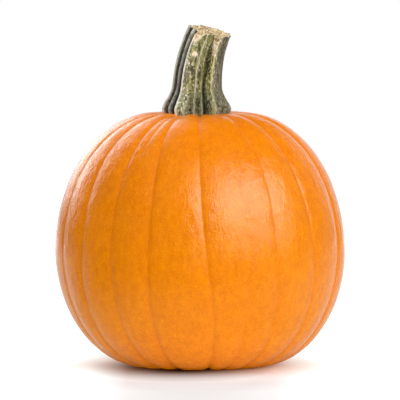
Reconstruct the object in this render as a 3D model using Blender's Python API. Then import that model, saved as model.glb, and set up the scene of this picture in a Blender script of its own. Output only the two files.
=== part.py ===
"""A carving pumpkin as picked: a ribbed fruit on its blossom end, and the thick ridged stem cut off above it.

Metres, +Z up. The origin is the middle of the fruit's footprint, on the surface that it stands on.
Longitudes are in degrees round +Z: 0 faces -Y, the front, and 90 faces +X.
"""

import math

import bmesh
import bpy

# The fruit's envelope: a dimple round the stem, two quarter ellipses, and a dimple round the blossom scar.
FRUIT_WIDTH = 0.2612
FRUIT_HEIGHT = 0.2277  # up to the ring of lobe crests round the stem
WAIST_HEIGHT = 0.1037  # where the fruit is widest
CREST_RADIUS = 0.038
REST_RADIUS = 0.051
STEM_DIP = 0.004
BLOSSOM_DIP = 0.015
FLAT_SINK = 0.0012  # how much of each lobe's foot is pressed flat

# Each rind groove: longitude at the waist, drift towards the blossom end, and share of the full depth.
GROOVES = (
    (-71.5, -1.0, 0.90),
    (-55.5, -0.5, 1.00),
    (-37.5, 0.0, 0.90),
    (-21.0, 0.8, 1.00),
    (3.0, 4.0, 1.00),
    (19.0, 2.5, 0.25),
    (32.5, 3.3, 0.80),
    (51.5, 3.0, 0.90),
    (73.0, 1.0, 1.00),
    (91.0, 0.5, 0.80),
    (108.0, -1.0, 1.00),
    (128.0, 1.5, 0.60),
    (145.0, 0.0, 1.00),
    (165.0, -2.0, 0.90),
    (182.0, 1.0, 1.00),
    (199.0, 2.0, 0.50),
    (219.0, -0.5, 1.00),
    (236.0, -1.5, 0.80),
    (256.0, 1.0, 1.00),
    (272.5, 0.5, 0.80),
)
# A groove that starts at the stem and dies out on the shoulder.
SHORT_GROOVE = (-30.0, 0.0, 0.75)
SHORT_GROOVE_END = 0.150  # height
GROOVE_DEPTH = 0.0007  # the broad valley, at the waist
CREASE_DEPTH = 0.0010  # the narrow line at its bottom
GROOVE_DEEPENING = (0.0, 1.6)  # extra share of depth at the stem and at the blossom end
VALLEY_WIDTH = 5.0  # degrees
CREASE_WIDTH = 0.0022
CREASE_ROUNDING = 0.0006
WAVINESS = 0.7  # degrees that a groove strays from its meridian

# The stem, from the crest ring of the fruit up.
STEM_HEIGHT = 0.0735
STEM_FOOT = (-0.0029, -0.0005)
STEM_LEAN = (0.0122, -0.0030)
STEM_BEND = 2.8  # power of the height that the lean grows with
STEM_ROOT = 0.014  # how far the stem reaches into the fruit before it is cut to fit
STEM_TAPER = 0.20  # share of the radius lost between foot and cut
TOE_HEIGHT = 0.0190
TOE_FLARE = 0.0040  # how far the foot spreads
TOE_RIDGE_FLARE = 0.0042  # how much further its ridges do
CUT_TILT = (13.0, 8.0)  # degrees down towards +X and towards the front
PITH_DEPTH = 0.0022
TEAR = (43.0, 9.0, 0.0060)  # a strip torn off below the cut: longitude, half-width in degrees, length
# The stem's section halfway up: longitude and radius of each ridge, and of the valley after it.
SECTION = (
    (-84.0, 0.0222, -71.0, 0.0184),
    (-57.0, 0.0216, -48.0, 0.0178),
    (-38.0, 0.0232, -21.0, 0.0210),
    (-4.0, 0.0212, 2.0, 0.0200),
    (10.0, 0.0212, 22.0, 0.0162),
    (38.0, 0.0222, 55.0, 0.0202),
    (70.0, 0.0208, 79.0, 0.0202),
    (92.0, 0.0214, 103.0, 0.0182),
    (114.0, 0.0226, 126.0, 0.0182),
    (138.0, 0.0214, 147.0, 0.0188),
    (158.0, 0.0230, 171.0, 0.0180),
    (184.0, 0.0220, 195.0, 0.0190),
    (207.0, 0.0232, 219.0, 0.0184),
    (231.0, 0.0216, 242.0, 0.0186),
    (254.0, 0.0228, 265.0, 0.0190),
)
VALLEY_ROUNDING = 1.6  # power of the climb from a valley to a ridge
SEAT_GAP = 0.0004  # between the stem's underside and the rind

# Mesh density.
COLUMNS_PER_LOBE = 6
RINGS = (4, 12, 11, 6)  # stem dimple, upper ellipse, lower ellipse, blossom dimple
RING_CROWDING = (1.25, 1.5)  # powers that draw the rings of the last two towards the flat spots
STEM_COLUMNS = 96
STEM_RINGS = 12


def smoothstep(low, high, x):
    t = min(1.0, max(0.0, (x - low) / (high - low)))
    return t * t * (3 - 2 * t)


def turn(a, b):
    """Degrees from longitude b to longitude a, the short way round."""
    return (a - b + 180) % 360 - 180


def envelope():
    """The profile from stem to blossom end: radius, height, and the outward normal's two parts."""
    waist = FRUIT_WIDTH / 2
    points = []
    for k in range(1, RINGS[0] + 1):
        r = CREST_RADIUS * k / RINGS[0]
        dip = STEM_DIP * (1 + math.cos(math.pi * r / CREST_RADIUS)) / 2
        points.append((r, FRUIT_HEIGHT - dip, 0.0, 1.0))
    for k in range(1, RINGS[1] + 1):
        a = math.pi / 2 * (1 - k / RINGS[1])
        across, up = waist - CREST_RADIUS, FRUIT_HEIGHT - WAIST_HEIGHT
        normal = (math.cos(a) / across, math.sin(a) / up)
        points.append((CREST_RADIUS + across * math.cos(a), WAIST_HEIGHT + up * math.sin(a), *normal))
    for k in range(1, RINGS[2] + 1):
        a = math.pi / 2 * (1 - (1 - k / RINGS[2]) ** RING_CROWDING[0])
        across, down = waist - REST_RADIUS, WAIST_HEIGHT + FLAT_SINK
        normal = (math.cos(a) / across, -math.sin(a) / down)
        points.append((REST_RADIUS + across * math.cos(a), WAIST_HEIGHT - down * math.sin(a), *normal))
    for k in range(1, RINGS[3]):
        r = REST_RADIUS * (1 - (k / RINGS[3]) ** RING_CROWDING[1])
        rise = BLOSSOM_DIP * (1 + math.cos(math.pi * r / REST_RADIUS)) / 2
        points.append((r, rise - FLAT_SINK, 0.0, -1.0))
    return [(r, z, n / math.hypot(n, m), m / math.hypot(n, m)) for r, z, n, m in points]


def groove_longitude(groove, index, z):
    """Where a groove runs at this height. Each strays a little from its meridian, out of step with the others."""
    waist, drift, _ = groove
    down = (WAIST_HEIGHT - z) / WAIST_HEIGHT
    return waist + drift * down + WAVINESS * math.sin(3.1 * down + 2.4 * index)


def relief(longitude, radius, z):
    """How far the rind lies below the envelope: the sum of its grooves' valleys and creases."""
    off_waist = abs(z - WAIST_HEIGHT) / (FRUIT_HEIGHT - WAIST_HEIGHT if z > WAIST_HEIGHT else WAIST_HEIGHT)
    deep = 1 + GROOVE_DEEPENING[z < WAIST_HEIGHT] * min(1.0, off_waist) ** 2
    depth = 0.0
    for index, groove in enumerate((*GROOVES, SHORT_GROOVE)):
        away = abs(turn(longitude, groove_longitude(groove, index, z)))
        share = groove[2] * deep
        if groove is SHORT_GROOVE:
            share *= smoothstep(SHORT_GROOVE_END, FRUIT_HEIGHT, z)
        arc = math.hypot(math.radians(away) * radius, CREASE_ROUNDING) - CREASE_ROUNDING
        valley = GROOVE_DEPTH * math.exp(-((away / VALLEY_WIDTH) ** 2))
        crease = CREASE_DEPTH * math.exp(-arc / CREASE_WIDTH)
        depth += share * (valley + crease)
    return depth * smoothstep(0.0, CREST_RADIUS, radius)


def fruit_columns(z):
    """The longitudes of the mesh's columns at this height: one in each groove, the rest over the lobe beside it."""
    runs = [groove_longitude(groove, index, z) for index, groove in enumerate(GROOVES)]
    columns = []
    for here, after in zip(runs, runs[1:] + [runs[0] + 360]):
        for k in range(COLUMNS_PER_LOBE):
            share = (1 - math.cos(math.pi * k / COLUMNS_PER_LOBE)) / 2
            columns.append(here + share * (after - here))
    return columns


def fruit_rings():
    rings = []
    for r, z, out, up in envelope():
        ring = []
        for longitude in fruit_columns(z):
            depth = relief(longitude, r, z)
            radius, height = r - depth * out, max(0.0, z - depth * up)
            a = math.radians(longitude)
            ring.append((radius * math.sin(a), -radius * math.cos(a), height))
        rings.append(ring)
    return rings


def section(longitude):
    """The stem's radius halfway up, and where this longitude lies between a valley, 0, and a ridge, 1."""
    ends = []
    for ridge, high, valley, low in SECTION:
        ends.append((ridge, high, 1))
        ends.append((valley, low, 0))
    ends.append((ends[0][0] + 360, ends[0][1], 1))
    around = ends[0][0] + (longitude - ends[0][0]) % 360
    for (from_at, from_radius, from_ridge), (to_at, to_radius, _) in zip(ends, ends[1:]):
        if from_at <= around <= to_at:
            t = (around - from_at) / (to_at - from_at)
            climb = 1 - t if from_ridge else t
            low, high = (to_radius, from_radius) if from_ridge else (from_radius, to_radius)
            return low + climb**VALLEY_ROUNDING * (high - low), climb
    raise ValueError(longitude)


def stem_radius(longitude, height):
    """The stem's radius: a tapering section that spreads into toes at the bottom."""
    up = max(0.0, height) / STEM_HEIGHT
    radius, ridge = section(longitude)
    flare = 1 - smoothstep(0.0, TOE_HEIGHT, height)
    toe = TOE_FLARE + TOE_RIDGE_FLARE * smoothstep(0.0, 1.0, ridge)
    return radius * (1 + STEM_TAPER * (0.5 - up)) + flare * toe


def stem_point(longitude, share, radius):
    """A point of the stem's section at this share of its height. The sections tilt from level to the cut's slope."""
    up = max(0.0, share)
    right, front = (math.radians(tilt) * up**2 for tilt in CUT_TILT)
    across = radius * math.sin(math.radians(longitude))
    ahead = radius * math.cos(math.radians(longitude))
    return (
        STEM_LEAN[0] * up**STEM_BEND + across * math.cos(right),
        STEM_LEAN[1] * up**STEM_BEND - ahead * math.cos(front),
        STEM_HEIGHT * share - across * math.sin(right) - ahead * math.sin(front),
    )


def torn(longitude):
    """How much of the stem's height is missing at the cut, where a strip came off."""
    at, half_width, length = TEAR
    return length / STEM_HEIGHT * math.exp(-((turn(longitude, at) / half_width) ** 4))


def stem_rings():
    """Rings from the root, inside the fruit, to the cut, then in over the cut face to its sunken pith."""
    longitudes = [360 * k / STEM_COLUMNS for k in range(STEM_COLUMNS)]
    rings = []
    for share in [-STEM_ROOT / STEM_HEIGHT] + [(k / STEM_RINGS) ** 1.4 for k in range(STEM_RINGS + 1)]:
        ring = []
        for a in longitudes:
            level = share - torn(a) * max(0.0, share) ** 8
            ring.append(stem_point(a, level, stem_radius(a, level * STEM_HEIGHT)))
        rings.append(ring)
    for inward, sunk in ((0.86, 0.2), (0.45, 0.8)):
        level = 1 - PITH_DEPTH * sunk / STEM_HEIGHT
        rings.append([stem_point(a, level, inward * stem_radius(a, STEM_HEIGHT)) for a in longitudes])
    return rings


def lofted(name, rings, first_pole, last_pole, material):
    """An object through rings of equally many points, closed by a fan of triangles at each end."""
    shape = bmesh.new()
    made = [[shape.verts.new(point) for point in ring] for ring in rings]
    count = len(made[0])
    for here, after in zip(made, made[1:]):
        for k in range(count):
            shape.faces.new((here[k], here[(k + 1) % count], after[(k + 1) % count], after[k]))
    for pole, ring in ((first_pole, made[0]), (last_pole, made[-1])):
        middle = shape.verts.new(pole)
        for k in range(count):
            shape.faces.new((middle, ring[k], ring[(k + 1) % count]))
    bmesh.ops.recalc_face_normals(shape, faces=shape.faces)
    mesh = bpy.data.meshes.new(name)
    shape.to_mesh(mesh)
    shape.free()
    mesh.materials.append(material)
    mesh.shade_smooth()
    made_object = bpy.data.objects.new(name, mesh)
    bpy.context.scene.collection.objects.link(made_object)
    return made_object


def finish(name, colour, roughness):
    material = bpy.data.materials.new(name)
    material.use_nodes = True
    shader = material.node_tree.nodes["Principled BSDF"]
    shader.inputs["Base Color"].default_value = (*colour, 1.0)
    shader.inputs["Roughness"].default_value = roughness
    shader.inputs["Metallic"].default_value = 0.0
    return material


def centre_footprint(fruit):
    """Moves the mesh so that the middle of its box is over the origin."""
    for axis in (0, 1):
        places = [vertex.co[axis] for vertex in fruit.data.vertices]
        middle = (min(places) + max(places)) / 2
        for vertex in fruit.data.vertices:
            vertex.co[axis] -= middle


def make_fruit():
    top = (0.0, 0.0, FRUIT_HEIGHT - STEM_DIP)
    bottom = (0.0, 0.0, BLOSSOM_DIP - FLAT_SINK)
    rind = finish("rind", (0.82, 0.26, 0.02), 0.4)
    fruit = lofted("fruit", fruit_rings(), top, bottom, rind)
    centre_footprint(fruit)
    return fruit


def make_stem():
    root = (0.0, 0.0, -STEM_ROOT)
    pith = stem_point(0.0, 1 - PITH_DEPTH / STEM_HEIGHT, 0.0)
    bark = finish("bark", (0.14, 0.14, 0.06), 0.7)
    stem = lofted("stem", stem_rings(), root, pith, bark)
    stem.data.set_sharp_from_angle(angle=math.radians(50))
    stem.location = (*STEM_FOOT, FRUIT_HEIGHT)
    return stem


def fit_stem(stem, fruit):
    """Cuts the stem's root away along the rind, so that its feet lie on the lobes and in the grooves."""
    seat = fruit.copy()
    seat.name = "stem_seat_cutter"
    seat.data = fruit.data.copy()
    seat.hide_render = True
    seat.display_type = "WIRE"
    bpy.context.scene.collection.objects.link(seat)
    swell = seat.modifiers.new("gap", "DISPLACE")
    swell.strength = SEAT_GAP
    swell.mid_level = 0.0
    cut = stem.modifiers.new("seat", "BOOLEAN")
    cut.operation = "DIFFERENCE"
    cut.solver = "EXACT"
    cut.object = seat


def main():
    for old in list(bpy.data.objects):
        bpy.data.objects.remove(old)
    fruit = make_fruit()
    fit_stem(make_stem(), fruit)


main()
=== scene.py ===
"""The looks of a carving pumpkin: its ribbed waxy rind, its ridged stem, and a pale studio round it.

Metres, +Z up, in the CAD's frame. Longitudes and azimuths are in degrees round +Z: 0 is towards -Y,
the front, and 90 is towards +X.
"""

import math

import bpy
import numpy as np
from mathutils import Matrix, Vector, noise


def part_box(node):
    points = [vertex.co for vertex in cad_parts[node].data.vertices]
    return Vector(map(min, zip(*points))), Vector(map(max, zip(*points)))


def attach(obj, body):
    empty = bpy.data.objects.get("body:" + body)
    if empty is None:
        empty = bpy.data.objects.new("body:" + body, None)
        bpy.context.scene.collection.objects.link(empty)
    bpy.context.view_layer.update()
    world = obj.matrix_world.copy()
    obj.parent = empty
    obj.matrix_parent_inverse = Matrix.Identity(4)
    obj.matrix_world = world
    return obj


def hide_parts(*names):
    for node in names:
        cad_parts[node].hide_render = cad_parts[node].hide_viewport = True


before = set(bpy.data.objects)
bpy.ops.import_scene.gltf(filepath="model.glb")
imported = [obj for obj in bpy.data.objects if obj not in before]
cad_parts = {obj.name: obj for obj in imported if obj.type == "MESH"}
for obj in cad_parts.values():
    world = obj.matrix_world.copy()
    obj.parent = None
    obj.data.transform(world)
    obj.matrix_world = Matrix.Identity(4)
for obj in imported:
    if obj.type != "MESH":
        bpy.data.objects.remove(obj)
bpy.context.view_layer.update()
FRUIT_LOW, FRUIT_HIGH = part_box("fruit")
STEM_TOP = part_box("stem")[1].z

# The fruit's envelope, which its grooves are pressed into: two quarter ellipses and two dimples.
CREST_SINK = 0.0003  # how far the widest lobes lie inside it
WAIST_RADIUS = (FRUIT_HIGH.x - FRUIT_LOW.x) / 2 + CREST_SINK
CREST_HEIGHT = FRUIT_HIGH.z
WAIST_HEIGHT = 0.4554 * CREST_HEIGHT
CREST_RADIUS = 0.038
REST_RADIUS = 0.051
STEM_DIP = 0.004
BLOSSOM_DIP = 0.015
FLAT_SINK = 0.0012  # how far it passes below the floor, which presses the lobes flat

# Each groove: longitude at the waist, drift in degrees from there to the floor, share of the full
# depth, and the height that it starts at, or 0 where it runs the whole way.
GROOVES = (
    (-71.5, -1.0, 0.90, 0.0),
    (-55.5, -0.5, 1.00, 0.0),
    (-37.5, 0.0, 0.90, 0.0),
    (-30.0, 0.0, 0.75, 0.150),
    (-21.0, 0.8, 1.00, 0.0),
    (3.0, 4.0, 1.00, 0.0),
    (19.0, 2.5, 0.45, 0.0),
    (32.5, 3.3, 0.75, 0.0),
    (51.5, 3.0, 0.90, 0.0),
    (73.0, 1.0, 1.50, 0.0),
    (91.0, 0.5, 0.80, 0.0),
    (108.0, -1.0, 1.00, 0.0),
    (128.0, 1.5, 0.60, 0.0),
    (145.0, 0.0, 1.00, 0.0),
    (165.0, -2.0, 0.90, 0.0),
    (182.0, 1.0, 1.00, 0.0),
    (199.0, 2.0, 0.50, 0.0),
    (219.0, -0.5, 1.00, 0.0),
    (236.0, -1.5, 0.80, 0.0),
    (256.0, 1.0, 1.00, 0.0),
    (272.5, 0.5, 0.80, 0.0),
)
VALLEY_DEPTH = 0.0008
VALLEY_WIDTH = 5.0  # degrees
CREASE_DEPTH = 0.0011
CREASE_WIDTH = 0.0020
CREASE_ROUNDING = 0.0005
BLOSSOM_DEEPENING = 0.35
WAVINESS = 0.7  # degrees that a groove swings to each side
WAVE_RATE = 3.1  # radians of its swing from the waist to the floor
WAVE_STEP = 2.4  # radians from one groove's swing to the next one's

# Unevenness: the height of its lumps, and their size, the same every way or along X, Y and Z.
RIND_SWELLS = (0.0007, 0.060)
RIND_RIPPLES = (0.00020, (0.012, 0.012, 0.045))
RIND_WRINKLES = (0.00007, (0.0075, 0.0075, 0.003125))
BARE_WRINKLES = 0.25  # their strength away from the shoulder, which adds 1
SHOULDER = (0.55, 0.75, 0.93, 0.99)  # shares of the fruit's height: it comes in, then goes out
BARK_SWELLS = (0.0004, (0.006, 0.006, 0.014))
CUT_FIBRES = (0.0010, 0.0026)
CUT_DENTS = (0.0012, 0.007)
RIM_TEETH = (0.0008, 0.16)  # the size is for a rim of radius 1
SCAR_TEETH = (0.35, 0.0016)  # the height is in radii of the scar
SCRAPE_TEETH = (0.5, 0.003)  # the height is in lengths of the scrape
NOISE_STEP = 17.3  # how far apart two seeds read the noise, in lumps

BLOSSOM_SCAR = (0.008, 0.012)  # the radii that it fades between

# The stem.
STEM_HEIGHT = 0.934 * (STEM_TOP - CREST_HEIGHT)  # at its middle, as the cut slants
STEM_FOOT = (-0.0029, -0.0005)
STEM_LEAN = (0.0122, -0.0030)
STEM_BEND = 2.8  # how late it leans, as a power of the share of its height
STEM_ROOT = 0.007  # how deep it reaches into the fruit
STEM_TAPER = 0.20
TOE_HEIGHT = 0.0230
TOE_FLARE = 0.0028
TOE_RIDGE_FLARE = 0.0052
TOE_TUCK = 0.0016
TUCK_HEIGHTS = (-0.001, 0.004)  # above the crest of the fruit, from full tuck to none
CUT_TILT = (13.0, 8.0)  # degrees down to the right and down to the front
PITH_DEPTH = 0.0022
PITH_EDGE = 0.04  # the innermost ring of the cut, as a share of the rim
# Where the rim is torn down: longitude, half width in degrees, and length. The sections below it are
# lowered too, by this power of their share of the height.
TEARS = ((29.0, 6.5, 0.0058), (-31.0, 15.0, 0.0034))
TEAR_POWER = 8
# Below the rim the bark is scraped for this length, and for this share of the tear's length more.
SCRAPE_LENGTH = 0.0002
SCRAPE_SHARE = 1.9
SCRAPE_FADE = (0.5, 1.2)  # in lengths of the scrape
# Corky scars: longitude, share of the stem's height, and radius.
SCARS = (
    (-20.0, 0.73, 0.0027),
    (-29.0, 0.61, 0.0012),
    (32.0, 0.74, 0.0014),
    (128.0, 0.46, 0.0018),
    (205.0, 0.66, 0.0022),
    (262.0, 0.30, 0.0014),
)
SCAR_FADE = (0.7, 1.1)  # in radii of the scar
# Each ridge: longitude, radius halfway up, how pale its crest line is, partly a painted highlight, and
# its tint from -1 for brown, partly painted shade, to 1 for golden. Each valley: longitude, radius, how
# much shade is painted along it, and its tint.
RIDGES = (
    (-84.0, 0.0222, 0.90, -1.0),
    (-57.5, 0.0212, 2.00, -1.0),
    (-38.0, 0.0232, 3.00, 0.0),
    (-6.0, 0.0216, 0.90, 0.5),
    (8.0, 0.0216, 0.25, 0.8),
    (31.5, 0.0222, 1.40, 1.0),
    (70.0, 0.0208, 0.15, -0.9),
    (92.0, 0.0214, 0.50, -0.4),
    (114.0, 0.0226, 0.80, 0.2),
    (138.0, 0.0214, 0.30, 0.7),
    (158.0, 0.0230, 0.70, 0.2),
    (184.0, 0.0220, 0.50, -0.4),
    (207.0, 0.0232, 0.90, 0.0),
    (231.0, 0.0216, 0.20, 0.4),
    (254.0, 0.0228, 0.80, 0.0),
)
VALLEYS = (
    (-71.0, 0.0176, 1.6, -1.0),
    (-49.5, 0.0154, 2.4, -1.0),
    (-14.0, 0.0208, 0.5, 1.0),
    (0.5, 0.0198, 0.5, 0.6),
    (19.0, 0.0154, 1.1, 1.0),
    (51.0, 0.0204, 0.1, -0.85),
    (79.0, 0.0202, 0.3, -1.0),
    (103.0, 0.0176, 0.9, 0.0),
    (126.0, 0.0172, 0.8, 0.6),
    (147.0, 0.0184, 0.4, 0.7),
    (171.0, 0.0170, 1.0, 0.2),
    (195.0, 0.0188, 0.5, -0.6),
    (219.0, 0.0172, 0.9, 0.3),
    (242.0, 0.0184, 0.5, 0.5),
    (265.0, 0.0178, 0.9, -0.3),
)
VALLEY_ROUNDING = 1.6  # 1 would be a sharp valley
CREST_LINE = 1.6  # half its width in degrees
CREST_OFFSET = 1.3  # degrees of longitude from the crest on to it, a flank, as the line is partly a painted highlight
VALLEY_LINE = 6.0  # half the width of a valley's painted shade, in degrees
VALLEY_FADING = 0.45  # how much of the valleys' painted shade is gone at the cut
FOOT_FADE = (0.05, 0.45)  # shares of the stem's height that the foot's colours fade between

# Mesh density.
FRUIT_COLUMNS = 430
FRUIT_RINGS = (14, 92, 78, 24)  # in the stem dip, above the waist, below it, and in the blossom dip
COLUMN_CROWDING = 0.5  # how strongly the columns draw together at a groove
STEM_COLUMNS = 400
STEM_RINGS = 150
CUT_RINGS = 30

# The studio.
CAMERA_DISTANCE = 7.0
CAMERA_ELEVATION = 3.2
CAMERA_REACH = 100.0
AIM_HEIGHT = 0.485 * STEM_TOP
FIELD_WIDTH = 1.174 * STEM_TOP  # what the camera sees from side to side, at the stem
SENSOR_WIDTH = 36.0
FILL_LIGHT = 0.66  # the brightness of the surroundings, as matt surfaces see them
# Each softbox: name, azimuth, elevation, distance, width and height, brightness, and whether it is
# seen in gloss, and lights nothing else, or the other way round.
SOFTBOXES = (
    ("front", 35, 19, 1.6, (2.3, 1.0), 2.45, False),
    ("back_left_wide", -140, 40, 1.2, (1.0, 1.0), 0.5, False),
    ("top", -20, 65, 1.6, (1.4, 1.4), 1.0, False),
    ("gloss_high", 40, 37, 1.3, (1.4, 0.6), 7.6, True),
    ("gloss_low", 43, 21, 1.3, (1.45, 0.85), 3.5, True),
    ("backdrop", 180, 12, 1.6, (2.4, 1.05), 1.1, True),
    ("back_left", -143, 27, 1.2, (1.0, 0.8), 2.9, True),
    ("back_left_high", -150, 56, 1.2, (0.7, 0.4), 1.2, True),
    ("back_right", 139, 25, 1.2, (0.12, 0.9), 1.6, True),
    ("right", 118, 20, 1.2, (0.5, 0.7), 0.4, True),
)

# The floor: half its width, how far it lies below the fruit, and how bright it is to matt surfaces and
# to glossy ones.
FLOOR_HALF = 3.0
FLOOR_GAP = 0.0002
FLOOR_BOUNCE = 0.30
FLOOR_GLOSS_FRONT = 0.6
FLOOR_GLOSS_RIGHT = 0.9
FLOOR_GLOSS_BEHIND = 1.0
# Ovals on it: the X and Y of the middle, half the width, and half the length.
METRE_OVAL = (0.0, 0.0, 1.0, 1.0)
MIDDLE_OVAL = (0.0, 0.0, 0.075, 10.0)
# A shadow painted on the floor where the fruit stands.
PAINTED_SHADOW_OVAL = (-0.016, -0.03, 0.073, 0.150)
RIGHT_OVAL = (0.34, -0.12, 0.30, 0.25)
INNER_GLOW_OVAL = (-0.005, -0.13, 0.060, 0.18)
OUTER_GLOW_OVAL = (0.0, -0.15, 0.12, 0.36)
FRONT_GLOW_OVAL = (0.0, -0.150, 0.12, 0.065)


def smoothstep(low, high, x):
    """0 up to low, 1 from high on, and a smooth climb between them."""
    t = np.clip((x - low) / (high - low), 0.0, 1.0)
    return t * t * (3 - 2 * t)


def turn(a, b):
    """Degrees from longitude b to longitude a, the short way round."""
    return (a - b + 180) % 360 - 180


def lumps(points, height_and_size, seed):
    """Smooth noise at each point, from minus the height to plus the height."""
    height, size = height_and_size
    scaled = points / np.asarray(size) + NOISE_STEP * seed
    values = [noise.noise(Vector(point)) for point in scaled.reshape(-1, 3)]
    return height * np.array(values).reshape(points.shape[:-1])


def grid_object(name, rings, first_pole, last_pole, masks):
    """A closed mesh through rings of points, with a fan at each end.

    Each mask is a float attribute: its values on the rings, at the first pole and at the last.
    """
    ring_count, count = rings.shape[:2]
    points = np.concatenate([rings.reshape(-1, 3), [first_pole, last_pole]])
    starts = np.arange(ring_count * count).reshape(ring_count, count)
    after = np.roll(starts, -1, axis=1)
    quads = np.stack([starts[:-1], starts[1:], after[1:], after[:-1]], axis=-1).reshape(-1, 4).tolist()
    first, last = len(points) - 2, len(points) - 1
    fans = [[first, a, b] for a, b in zip(starts[0].tolist(), after[0].tolist())]
    fans += [[last, b, a] for a, b in zip(starts[-1].tolist(), after[-1].tolist())]
    mesh = bpy.data.meshes.new(name)
    mesh.from_pydata(points.tolist(), [], quads + fans)
    for key, (values, first_value, last_value) in masks.items():
        layer = mesh.attributes.new(key, "FLOAT", "POINT")
        layer.data.foreach_set("value", np.append(values.ravel(), [first_value, last_value]))
    mesh.shade_smooth()
    made = bpy.data.objects.new(name, mesh)
    bpy.context.scene.collection.objects.link(made)
    return made


# ---------------------------------------------------------------- the fruit's shape


def envelope():
    """Rows of radius, height, and the outward normal's two parts, from stem to blossom end."""
    dip_rings, upper_rings, lower_rings, blossom_rings = FRUIT_RINGS
    rows = []
    for k in range(1, dip_rings + 1):
        radius = CREST_RADIUS * k / dip_rings
        dip = STEM_DIP * (1 + math.cos(math.pi * radius / CREST_RADIUS)) / 2
        rows.append((radius, CREST_HEIGHT - dip, 0.0, 1.0))
    across, up = WAIST_RADIUS - CREST_RADIUS, CREST_HEIGHT - WAIST_HEIGHT
    for k in range(1, upper_rings + 1):
        angle = math.pi / 2 * (1 - k / upper_rings)
        out, rise = math.cos(angle), math.sin(angle)
        rows.append((CREST_RADIUS + across * out, WAIST_HEIGHT + up * rise, out / across, rise / up))
    across, down = WAIST_RADIUS - REST_RADIUS, WAIST_HEIGHT + FLAT_SINK
    for k in range(1, lower_rings + 1):
        angle = math.pi / 2 * k / lower_rings
        out, fall = math.cos(angle), math.sin(angle)
        rows.append((REST_RADIUS + across * out, WAIST_HEIGHT - down * fall, out / across, -fall / down))
    for k in range(1, blossom_rings):
        radius = REST_RADIUS * (1 - k / blossom_rings)
        rise = BLOSSOM_DIP * (1 + math.cos(math.pi * radius / REST_RADIUS)) / 2
        rows.append((radius, rise - FLAT_SINK, 0.0, -1.0))
    profile = np.array(rows)
    profile[:, 2:] /= np.linalg.norm(profile[:, 2:], axis=1, keepdims=True)
    return profile


def groove_longitude(index, height):
    """Where a groove runs at each height: it drifts and swings a little on its way down."""
    waist, drift, _, _ = GROOVES[index]
    down = (WAIST_HEIGHT - height) / WAIST_HEIGHT
    return waist + drift * down + WAVINESS * np.sin(WAVE_RATE * down + WAVE_STEP * index)


def fruit_columns(height):
    """Longitudes for each ring height: the columns follow the grooves and crowd towards them."""
    runs = [groove_longitude(index, height) for index in range(len(GROOVES))]
    columns = []
    for index, here in enumerate(runs):
        onward = runs[index + 1] if index + 1 < len(runs) else runs[0] + 360
        width = GROOVES[(index + 1) % len(GROOVES)][0] - GROOVES[index][0]
        steps = round(FRUIT_COLUMNS * (width % 360) / 360)
        for k in range(steps):
            share = k / steps - COLUMN_CROWDING / math.tau * math.sin(math.tau * k / steps)
            columns.append(here + share * (onward - here))
    return np.stack(columns, axis=1)


def groove_relief(longitude, radius, height):
    """The depth of valleys and creases below the envelope, and how near each point is to a crease."""
    low = np.clip((WAIST_HEIGHT - height) / WAIST_HEIGHT, 0.0, 1.0)
    deep = 1 + BLOSSOM_DEEPENING * low**2
    depth = np.zeros_like(longitude)
    line = np.zeros_like(longitude)
    for index, (_, _, share, start) in enumerate(GROOVES):
        away = np.abs(turn(longitude, groove_longitude(index, height)))
        strength = share * deep
        if start:
            strength = strength * smoothstep(start, CREST_HEIGHT, height)
        arc = np.hypot(np.radians(away) * radius, CREASE_ROUNDING) - CREASE_ROUNDING
        crease = np.exp(-arc / CREASE_WIDTH)
        valley = np.exp(-((away / VALLEY_WIDTH) ** 2))
        depth += strength * (VALLEY_DEPTH * valley + CREASE_DEPTH * crease)
        line = np.maximum(line, np.minimum(1.0, strength) * crease)
    return depth * smoothstep(0.0, CREST_RADIUS, radius), line


def make_fruit():
    """The rind, with a mask for its creases and one for its blossom scar."""
    base, level, out, up = envelope().T[:, :, None]
    longitude = fruit_columns(level[:, 0])
    depth, line = groove_relief(longitude, base, level)
    angle = np.radians(longitude)
    right, ahead = np.sin(angle), np.cos(angle)
    around = np.stack([base * right, -base * ahead, level + 0 * angle], axis=-1)
    share = level / CREST_HEIGHT
    shoulder = smoothstep(*SHOULDER[:2], share) * (1 - smoothstep(*SHOULDER[2:], share))
    swell = lumps(around, RIND_SWELLS, 1) + lumps(around, RIND_RIPPLES, 2)
    wrinkles = (BARE_WRINKLES + shoulder) * lumps(around, RIND_WRINKLES, 3)
    inset = depth - (swell + wrinkles) * smoothstep(0.0, REST_RADIUS, base)
    radius = base - inset * out
    height = np.maximum(0.0, level - inset * up)
    rings = np.stack([radius * right, -radius * ahead, height], axis=-1)
    for axis in (0, 1):
        rings[..., axis] -= (rings[..., axis].min() + rings[..., axis].max()) / 2
    scar = (1 - smoothstep(*BLOSSOM_SCAR, base)) * (up < 0) + 0 * angle
    masks = {"crease": (line, 1.0, 1.0), "scar": (scar, 0.0, 1.0)}
    top = (0.0, 0.0, CREST_HEIGHT - STEM_DIP)
    bottom = (0.0, 0.0, BLOSSOM_DIP - FLAT_SINK)
    return grid_object("rind", rings, top, bottom, masks)


# ---------------------------------------------------------------- the stem's shape


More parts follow.
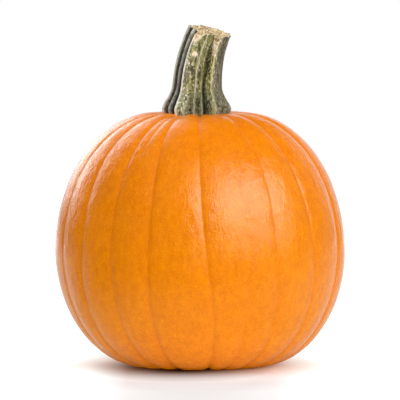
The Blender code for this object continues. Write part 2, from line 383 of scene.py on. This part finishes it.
def section(longitude):
    """The stem at each longitude.

    Its radius halfway up, its climb from valley to ridge, its pale crest lines, partly painted highlights,
    the shade painted along its valleys, and its tint.
    """
    around = longitude % 360
    ends = [(at % 360, radius, True) for at, radius, _, _ in RIDGES]
    ends += [(at % 360, radius, False) for at, radius, _, _ in VALLEYS]
    ends.sort()
    radius = np.zeros_like(around)
    ridge = np.zeros_like(around)
    for (from_at, from_radius, from_ridge), (to_at, to_radius, _) in zip(ends, ends[1:] + ends[:1]):
        t = (around - from_at) % 360 / ((to_at - from_at) % 360)
        climb = 1 - t if from_ridge else t
        low, high = sorted((from_radius, to_radius))
        here = t < 1
        radius[here] = (low + np.maximum(0, climb) ** VALLEY_ROUNDING * (high - low))[here]
        ridge[here] = climb[here]
    pale, valley_shade = 0.0, 0.0
    for at, _, strength, _ in RIDGES:
        pale += strength * np.exp(-((turn(around, at + CREST_OFFSET) / CREST_LINE) ** 2))
    for at, _, strength, _ in VALLEYS:
        valley_shade += strength * np.exp(-((turn(around, at) / VALLEY_LINE) ** 2))
    tints = sorted((at % 360, tint) for at, _, _, tint in RIDGES + VALLEYS)
    tint = np.interp(around, *zip(*tints), period=360)
    return radius, ridge, np.minimum(1.0, pale), np.minimum(1.0, valley_shade), tint


def stem_points(longitude, share, radius):
    """Points of the stem's sections at these shares of its height.

    The sections tilt from level at the foot to the cut's slope.
    """
    up = np.maximum(0.0, share)
    right, front = (math.radians(tilt) * up**2 for tilt in CUT_TILT)
    across = radius * np.sin(np.radians(longitude))
    ahead = radius * np.cos(np.radians(longitude))
    x = STEM_FOOT[0] + STEM_LEAN[0] * up**STEM_BEND + across * np.cos(right)
    y = STEM_FOOT[1] + STEM_LEAN[1] * up**STEM_BEND - ahead * np.cos(front)
    z = CREST_HEIGHT + STEM_HEIGHT * share - across * np.sin(right) - ahead * np.sin(front)
    return np.stack([x + 0 * z, y + 0 * z, z], axis=-1)


def torn_away(longitude):
    """The length of bark that is missing below the cut, at each longitude."""
    angle = np.radians(longitude)
    rim = np.stack([np.sin(angle), np.cos(angle), 0 * angle], axis=-1)
    torn = lumps(rim, RIM_TEETH, 10)
    for at, half_width, length in TEARS:
        torn = torn + length * np.exp(-((np.abs(turn(longitude, at)) / half_width) ** 3))
    return np.maximum(0.0, torn)


def scar_mask(longitude, height, side, radius, torn):
    """1 on the corky scars and where the bark is scraped below its torn rim."""
    scar = np.zeros_like(height)
    for at, up, size in SCARS:
        away = np.hypot(np.radians(turn(longitude, at)) * radius, height - up * STEM_HEIGHT) / size
        scar = np.maximum(scar, 1 - smoothstep(*SCAR_FADE, away + lumps(side, SCAR_TEETH, 7)))
    below = (STEM_HEIGHT - torn - height) / (SCRAPE_LENGTH + SCRAPE_SHARE * torn)
    scraped = 1 - smoothstep(*SCRAPE_FADE, below + lumps(side, SCRAPE_TEETH, 8))
    return np.maximum(scar, scraped)


def make_stem():
    """The bark and the cut, with the masks that their material reads."""
    longitude = np.linspace(0, -360, STEM_COLUMNS, endpoint=False)[None, :]
    share = np.linspace(-STEM_ROOT / STEM_HEIGHT, 1.0, STEM_RINGS)[:, None]
    torn = torn_away(longitude)
    level = share - torn / STEM_HEIGHT * np.maximum(0.0, share) ** TEAR_POWER
    height = level * STEM_HEIGHT
    radius, ridge, pale, valley_shade, tint = section(longitude + 0 * share)
    valley_shade = valley_shade * (1 - VALLEY_FADING * np.maximum(0.0, level) ** 2)
    flare = 1 - smoothstep(0.0, TOE_HEIGHT, height)
    toe = TOE_FLARE + TOE_RIDGE_FLARE * smoothstep(0.0, 1.0, ridge)
    radius = radius * (1 + STEM_TAPER * (0.5 - np.maximum(0.0, level))) + flare * toe
    radius -= TOE_TUCK * (1 - smoothstep(*TUCK_HEIGHTS, height)) * ridge
    radius += lumps(stem_points(longitude, level, radius), BARK_SWELLS, 6)
    side = stem_points(longitude, level, radius)
    inward = np.linspace(1.0, PITH_EDGE, CUT_RINGS)[1:, None]
    sunk = PITH_DEPTH * (1 - inward**3) / STEM_HEIGHT
    cut = stem_points(longitude, level[-1:] * inward + (1 - inward) - sunk, radius[-1:] * inward)
    cut[..., 2] += lumps(cut, CUT_FIBRES, 5) + lumps(cut, CUT_DENTS, 9)
    rings = np.concatenate([side, cut])
    within = np.zeros(cut.shape[:2])
    on_side = {
        "pale": pale,
        "valley_shade": valley_shade,
        "tint": tint,
        "scar": scar_mask(longitude, height, side, radius, torn),
        "foot": 1 - smoothstep(*FOOT_FADE, level),
    }
    masks = {key: (np.concatenate([values, within]), 0.0, 0.0) for key, values in on_side.items()}
    masks["cut"] = (np.concatenate([0 * height, 1 + within]), 0.0, 1.0)
    root = (*STEM_FOOT, CREST_HEIGHT - STEM_ROOT)
    pith = rings[-1].mean(axis=0)
    return grid_object("bark", rings, root, pith, masks)


# ---------------------------------------------------------------- materials


class Nodes:
    """A short way to write a material's nodes. Colours are red, green and blue."""

    def __init__(self, name):
        self.material = bpy.data.materials.new(name)
        self.material.use_nodes = True
        self.tree = self.material.node_tree
        self.shader = self.tree.nodes["Principled BSDF"]

    def link(self, value, socket):
        if isinstance(value, bpy.types.NodeSocket):
            self.tree.links.new(value, socket)
        elif socket.type == "RGBA":
            socket.default_value = (*value, 1.0)
        else:
            socket.default_value = value

    def node(self, kind, inputs, **settings):
        made = self.tree.nodes.new(kind)
        for key, value in settings.items():
            setattr(made, key, value)
        for key, value in inputs.items():
            self.link(value, made.inputs[key])
        return made

    def position(self):
        return self.node("ShaderNodeTexCoord", {}).outputs["Object"]

    def noise(self, scale, detail=2.0, roughness=0.5):
        """Noise with this many lumps to a metre: one number, or one for each axis."""
        where = self.position()
        if isinstance(scale, tuple):
            where = self.node("ShaderNodeMapping", {"Vector": where, "Scale": scale}).outputs[0]
            scale = 1.0
        inputs = {"Vector": where, "Scale": scale, "Detail": detail, "Roughness": roughness}
        return self.node("ShaderNodeTexNoise", inputs).outputs["Fac"]

    def mask(self, name):
        return self.node("ShaderNodeAttribute", {}, attribute_name=name).outputs["Fac"]

    def spread(self, value, low, high, to_low=0.0, to_high=1.0):
        inputs = {"Value": value, 1: low, 2: high, 3: to_low, 4: to_high}
        return self.node("ShaderNodeMapRange", inputs).outputs[0]

    def math(self, operation, a, b):
        return self.node("ShaderNodeMath", {0: a, 1: b}, operation=operation).outputs[0]

    def blend(self, share, a, b):
        return self.node("ShaderNodeMix", {0: share, 6: a, 7: b}, data_type="RGBA").outputs[2]

    def overlay(self, colour, layers):
        """The colour with layers laid over it, each given as a mask, a strength and a colour."""
        for mask, strength, tone in layers:
            colour = self.blend(self.math("MULTIPLY", mask, strength), colour, tone)
        return colour

    def bump(self, layers):
        """The normal of a surface with layers of relief, each given as a height from 0 to 1 and a depth."""
        normal = None
        for height, distance in layers:
            made = self.node("ShaderNodeBump", {"Height": height, "Distance": distance})
            if normal is not None:
                self.link(normal, made.inputs["Normal"])
            normal = made.outputs["Normal"]
        return normal

    def finish(self, colour, roughness, normal):
        self.link(colour, self.shader.inputs["Base Color"])
        self.link(roughness, self.shader.inputs["Roughness"])
        self.link(normal, self.shader.inputs["Normal"])
        return self.material


def rind_material():
    """Waxy orange skin, with shade painted along its creases and a corky scar at the blossom end."""
    n = Nodes("rind")
    broad = n.spread(n.noise(26.0, 3.0), 0.3, 0.7)
    mottles = n.spread(n.noise(130.0, 4.0, 0.6), 0.36, 0.66)
    streaks = n.spread(n.noise((210.0, 210.0, 60.0), 3.0, 0.6), 0.42, 0.62)
    specks = n.spread(n.noise(560.0), 0.52, 0.70)
    pores = n.spread(n.noise(700.0, 1.0), 0.30, 0.42, 1.0, 0.0)
    orange = n.blend(broad, (0.76, 0.184, 0.0), (0.83, 0.212, 0.0))
    cork = n.blend(n.noise(300.0, 4.0), (0.34, 0.14, 0.07), (0.70, 0.42, 0.26))
    layers = (
        (mottles, 0.6, (0.93, 0.265, 0.0)),
        (streaks, 0.3, (0.70, 0.150, 0.0)),
        (specks, 0.5, (0.95, 0.340, 0.001)),
        (pores, 0.3, (0.58, 0.11, 0.0)),
        # Painted shade: the creases in a darker, redder orange.
        (n.mask("crease"), 0.25, (0.72, 0.15, 0.0)),
        (n.mask("scar"), 1.0, cork),
    )
    roughness = n.spread(n.noise(60.0, 3.0), 0.3, 0.7, 0.15, 0.24)
    soft = n.noise((150.0, 150.0, 85.0), 3.0, 0.55)
    normal = n.bump(((soft, 0.0010), (n.noise(700.0), 0.00032)))
    n.shader.inputs["IOR"].default_value = 1.33
    return n.finish(n.overlay(orange, layers), roughness, normal)


def bark_material():
    """Dry stem skin, golden in front, green at the foot and brown at the sides, and a straw cut. The brown
    sides are partly painted shade, the valleys hold painted shade, and the pale crest lines are partly
    painted highlights.
    """
    n = Nodes("bark")
    streak = n.noise((420.0, 420.0, 60.0), 3.0, 0.6)
    blotch = n.noise((330.0, 330.0, 70.0), 4.0, 0.6)
    grey = n.blend(n.spread(streak, 0.35, 0.65), (0.18, 0.17, 0.105), (0.40, 0.38, 0.25))
    green = n.blend(n.spread(blotch, 0.40, 0.60), (0.13, 0.145, 0.075), (0.36, 0.38, 0.22))
    gold = n.blend(n.spread(blotch, 0.42, 0.56), (0.10, 0.095, 0.025), (0.52, 0.48, 0.13))
    brown = n.blend(n.spread(streak, 0.35, 0.65), (0.070, 0.060, 0.035), (0.18, 0.155, 0.09))
    tan = n.blend(n.spread(n.noise(420.0, 3.0), 0.35, 0.5), (0.66, 0.44, 0.24), (0.98, 0.82, 0.58))
    fibre = n.spread(n.noise(330.0, 4.0, 0.7), 0.38, 0.58)
    straw = n.blend(fibre, (0.28, 0.17, 0.07), (0.80, 0.63, 0.37))
    tint = n.mask("tint")
    golden = n.spread(tint, 0.0, 1.0)
    # Brown at the sides: partly the bark's own colour, partly painted shade.
    brown_and_shade = n.spread(tint, 0.0, -1.0)
    flecked = n.spread(tint, -1.0, 0.2, 0.15, 0.9)
    foot = n.mask("foot")
    flecks = n.spread(n.noise((640.0, 640.0, 330.0)), 0.57, 0.63)
    pits = n.spread(n.noise((540.0, 540.0, 432.0)), 0.35, 0.42, 1.0, 0.0)
    broken = n.spread(n.noise(260.0), 0.35, 0.60, 0.65, 1.0)
    kept = n.spread(n.math("MULTIPLY", foot, golden), 0.0, 0.5, 1.0, 0.25)
    # The pale crest lines: partly the bark's own pale lines, partly painted highlights on the ridges.
    line = n.math("MULTIPLY", n.mask("pale"), broken)
    crest_line_and_highlight_colour = n.blend(golden, (0.92, 0.90, 0.78), (0.82, 0.68, 0.28))
    layers = (
        (foot, 0.8, green),
        (brown_and_shade, 1.0, brown),
        (flecks, flecked, (0.80, 0.77, 0.58)),
        (pits, 0.75, (0.035, 0.030, 0.010)),
        (line, kept, crest_line_and_highlight_colour),
        # Painted shade: near black along the valleys.
        (n.mask("valley_shade"), 0.95, (0.010, 0.008, 0.003)),
        (n.mask("scar"), 1.0, tan),
        (n.mask("cut"), 1.0, straw),
    )
    colour = n.overlay(n.blend(golden, grey, gold), layers)
    roughness = n.spread(streak, 0.3, 0.7, 0.50, 0.75)
    normal = n.bump(((streak, 0.0010), (pits, -0.0006), (n.noise(800.0), 0.0004)))
    n.shader.inputs["Specular IOR Level"].default_value = 0.15
    return n.finish(colour, roughness, normal)


def floor_material():
    """A pale table in a bright room.

    To the eye it is white out to the horizon, but for the shade by the fruit, which is partly real
    and partly a painted shadow. Matt surfaces see a dim glow near the fruit, and gloss sees one that is
    brightest to the right and behind. From below the floor is clear.
    """
    n = Nodes("floor")
    path = n.node("ShaderNodeLightPath", {}).outputs

    def oval(x, y, half_width, half_length):
        """0 in the middle of an oval on the floor and 1 on its rim."""
        offset = {0: n.position(), 1: (x, y, 0.0)}
        away = n.node("ShaderNodeVectorMath", offset, operation="SUBTRACT").outputs[0]
        scale = {0: away, 1: (1 / half_width, 1 / half_length, 0.0)}
        scaled = n.node("ShaderNodeVectorMath", scale, operation="MULTIPLY").outputs[0]
        return n.node("ShaderNodeVectorMath", {0: scaled}, operation="LENGTH").outputs["Value"]

    def by_ray(to_eye, to_gloss, to_matt):
        """One value for the camera, one for reflections in gloss, and one for matt surfaces."""
        others = n.node("ShaderNodeMix", {0: path["Is Glossy Ray"], 2: to_matt, 3: to_gloss}).outputs[0]
        return n.node("ShaderNodeMix", {0: path["Is Camera Ray"], 2: others, 3: to_eye}).outputs[0]

    # Its colour is pale near the fruit, with a shadow painted on it in deep brown where the fruit stands.
    far = oval(*METRE_OVAL)
    sides = n.spread(oval(*MIDDLE_OVAL), 0.85, 1.35)
    painted_shadow = n.math("POWER", n.spread(oval(*PAINTED_SHADOW_OVAL), 0.25, 1.15), 1.1)
    # Beside the fruit the white is tinted cyan, painted to cancel the orange light that the fruit throws
    # there.
    white = n.blend(sides, (0.80, 0.77, 0.765), (0.70, 0.82, 0.84))
    white = n.blend(n.spread(far, 0.3, 0.8), white, (0.04, 0.04, 0.04))
    n.link(n.blend(by_ray(painted_shadow, 0.0, 1.0), (0.06, 0.03, 0.015), white), n.shader.inputs["Base Color"])

    # Its glow fills the white round the shade, and the gloss leaves out the floor under the fruit.
    inner = n.spread(oval(*INNER_GLOW_OVAL), 1.0, 2.4, 0.0, 0.4)
    outer = n.spread(oval(*OUTER_GLOW_OVAL), 1.0, 1.5, 0.0, 0.6)
    front = n.spread(oval(*FRONT_GLOW_OVAL), 0.0, 1.0, 0.16, 0.0)
    glow = n.math("ADD", n.math("ADD", inner, outer), n.math("ADD", front, n.math("MULTIPLY", sides, 0.22)))
    ahead = n.spread(far, 0.17, 0.34, FLOOR_GLOSS_FRONT, 0.0)
    right = n.spread(oval(*RIGHT_OVAL), 0.5, 1.2, FLOOR_GLOSS_RIGHT, 0.0)
    y = n.node("ShaderNodeSeparateXYZ", {"Vector": n.position()}).outputs["Y"]
    mirrored = n.spread(y, -0.05, 0.15, n.math("MAXIMUM", ahead, right), FLOOR_GLOSS_BEHIND)
    glossy = n.math("MULTIPLY", n.spread(far, 0.065, 0.105), mirrored)
    matt = n.math("MULTIPLY", n.spread(far, 0.18, 0.40, 1.0, 0.0), FLOOR_BOUNCE)
    n.link(by_ray(glow, glossy, matt), n.shader.inputs["Emission Strength"])
    hue = n.blend(path["Is Glossy Ray"], (0.85, 1.35, 0.6), (1.0, 1.0, 1.0))
    n.link(n.blend(path["Is Camera Ray"], hue, (1.0, 0.965, 0.96)), n.shader.inputs["Emission Color"])

    # It has no gloss of its own, and isn't sampled as a lamp.
    n.shader.inputs["Specular IOR Level"].default_value = 0.0
    n.material.cycles.emission_sampling = "NONE"
    from_below = n.node("ShaderNodeNewGeometry", {}).outputs["Backfacing"]
    clear = n.node("ShaderNodeBsdfTransparent", {}).outputs[0]
    surface = n.node("ShaderNodeMixShader", {0: from_below, 1: n.shader.outputs[0], 2: clear}).outputs[0]
    n.link(surface, n.tree.nodes["Material Output"].inputs["Surface"])
    return n.material


# ---------------------------------------------------------------- the studio


def aimed(data, azimuth, elevation, distance, height):
    """An object in this direction from a point this high on the fruit's axis, turned to face the point."""
    around, up = math.radians(azimuth), math.radians(elevation)
    way = Vector((math.sin(around) * math.cos(up), -math.cos(around) * math.cos(up), math.sin(up)))
    target = Vector((0.0, 0.0, height))
    made = bpy.data.objects.new(data.name, data)
    made.location = target + distance * way
    made.rotation_euler = (target - made.location).to_track_quat("-Z", "Y").to_euler()
    bpy.context.scene.collection.objects.link(made)
    return made


def make_camera():
    """A distant camera a little above the level of the fruit's middle."""
    camera = bpy.data.cameras.new("camera")
    camera.sensor_width = SENSOR_WIDTH
    camera.lens = SENSOR_WIDTH * CAMERA_DISTANCE / FIELD_WIDTH
    camera.clip_end = CAMERA_REACH
    bpy.context.scene.camera = aimed(camera, 0.0, CAMERA_ELEVATION, CAMERA_DISTANCE, AIM_HEIGHT)


def make_floor():
    """A wide level square just below the fruit."""
    mesh = bpy.data.meshes.new("floor")
    signs = ((-1, -1), (1, -1), (1, 1), (-1, 1))
    corners = [(x * FLOOR_HALF, y * FLOOR_HALF, -FLOOR_GAP) for x, y in signs]
    mesh.from_pydata(corners, [], [(0, 1, 2, 3)])
    mesh.materials.append(floor_material())
    floor = bpy.data.objects.new("floor", mesh)
    bpy.context.scene.collection.objects.link(floor)


def make_surroundings():
    """White to the eye, a dim fill for matt surfaces, and no reflection of its own."""
    world = bpy.data.worlds.new("studio")
    bpy.context.scene.world = world
    world.use_nodes = True
    world.cycles_visibility.glossy = False
    tree = world.node_tree
    strength = tree.nodes.new("ShaderNodeMapRange")
    strength.inputs["To Min"].default_value = FILL_LIGHT
    to_eye = tree.nodes.new("ShaderNodeLightPath").outputs["Is Camera Ray"]
    tree.links.new(to_eye, strength.inputs["Value"])
    background = tree.nodes["Background"]
    background.inputs["Color"].default_value = (1, 1, 1, 1)
    tree.links.new(strength.outputs["Result"], background.inputs["Strength"])


def make_softbox(name, azimuth, elevation, distance, size, brightness, in_gloss):
    """A soft light that faces the fruit. Its brightness is given as seen, whatever its size."""
    light = bpy.data.lights.new(name, "AREA")
    light.shape = "RECTANGLE"
    light.size, light.size_y = size
    light.energy = brightness * math.pi * size[0] * size[1]
    box = aimed(light, azimuth, elevation, distance, WAIST_HEIGHT)
    box.visible_camera = False
    box.visible_glossy = in_gloss
    box.visible_diffuse = not in_gloss


def dress(piece, node, material):
    """Gives a piece its material, and has it stand for a CAD node."""
    piece.data.materials.append(material)
    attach(piece, "root")
    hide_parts(node)


dress(make_fruit(), "fruit", rind_material())
dress(make_stem(), "stem", bark_material())
make_camera()
make_floor()
make_surroundings()
for softbox in SOFTBOXES:
    make_softbox(*softbox)
bpy.context.scene.view_settings.view_transform = "Standard"
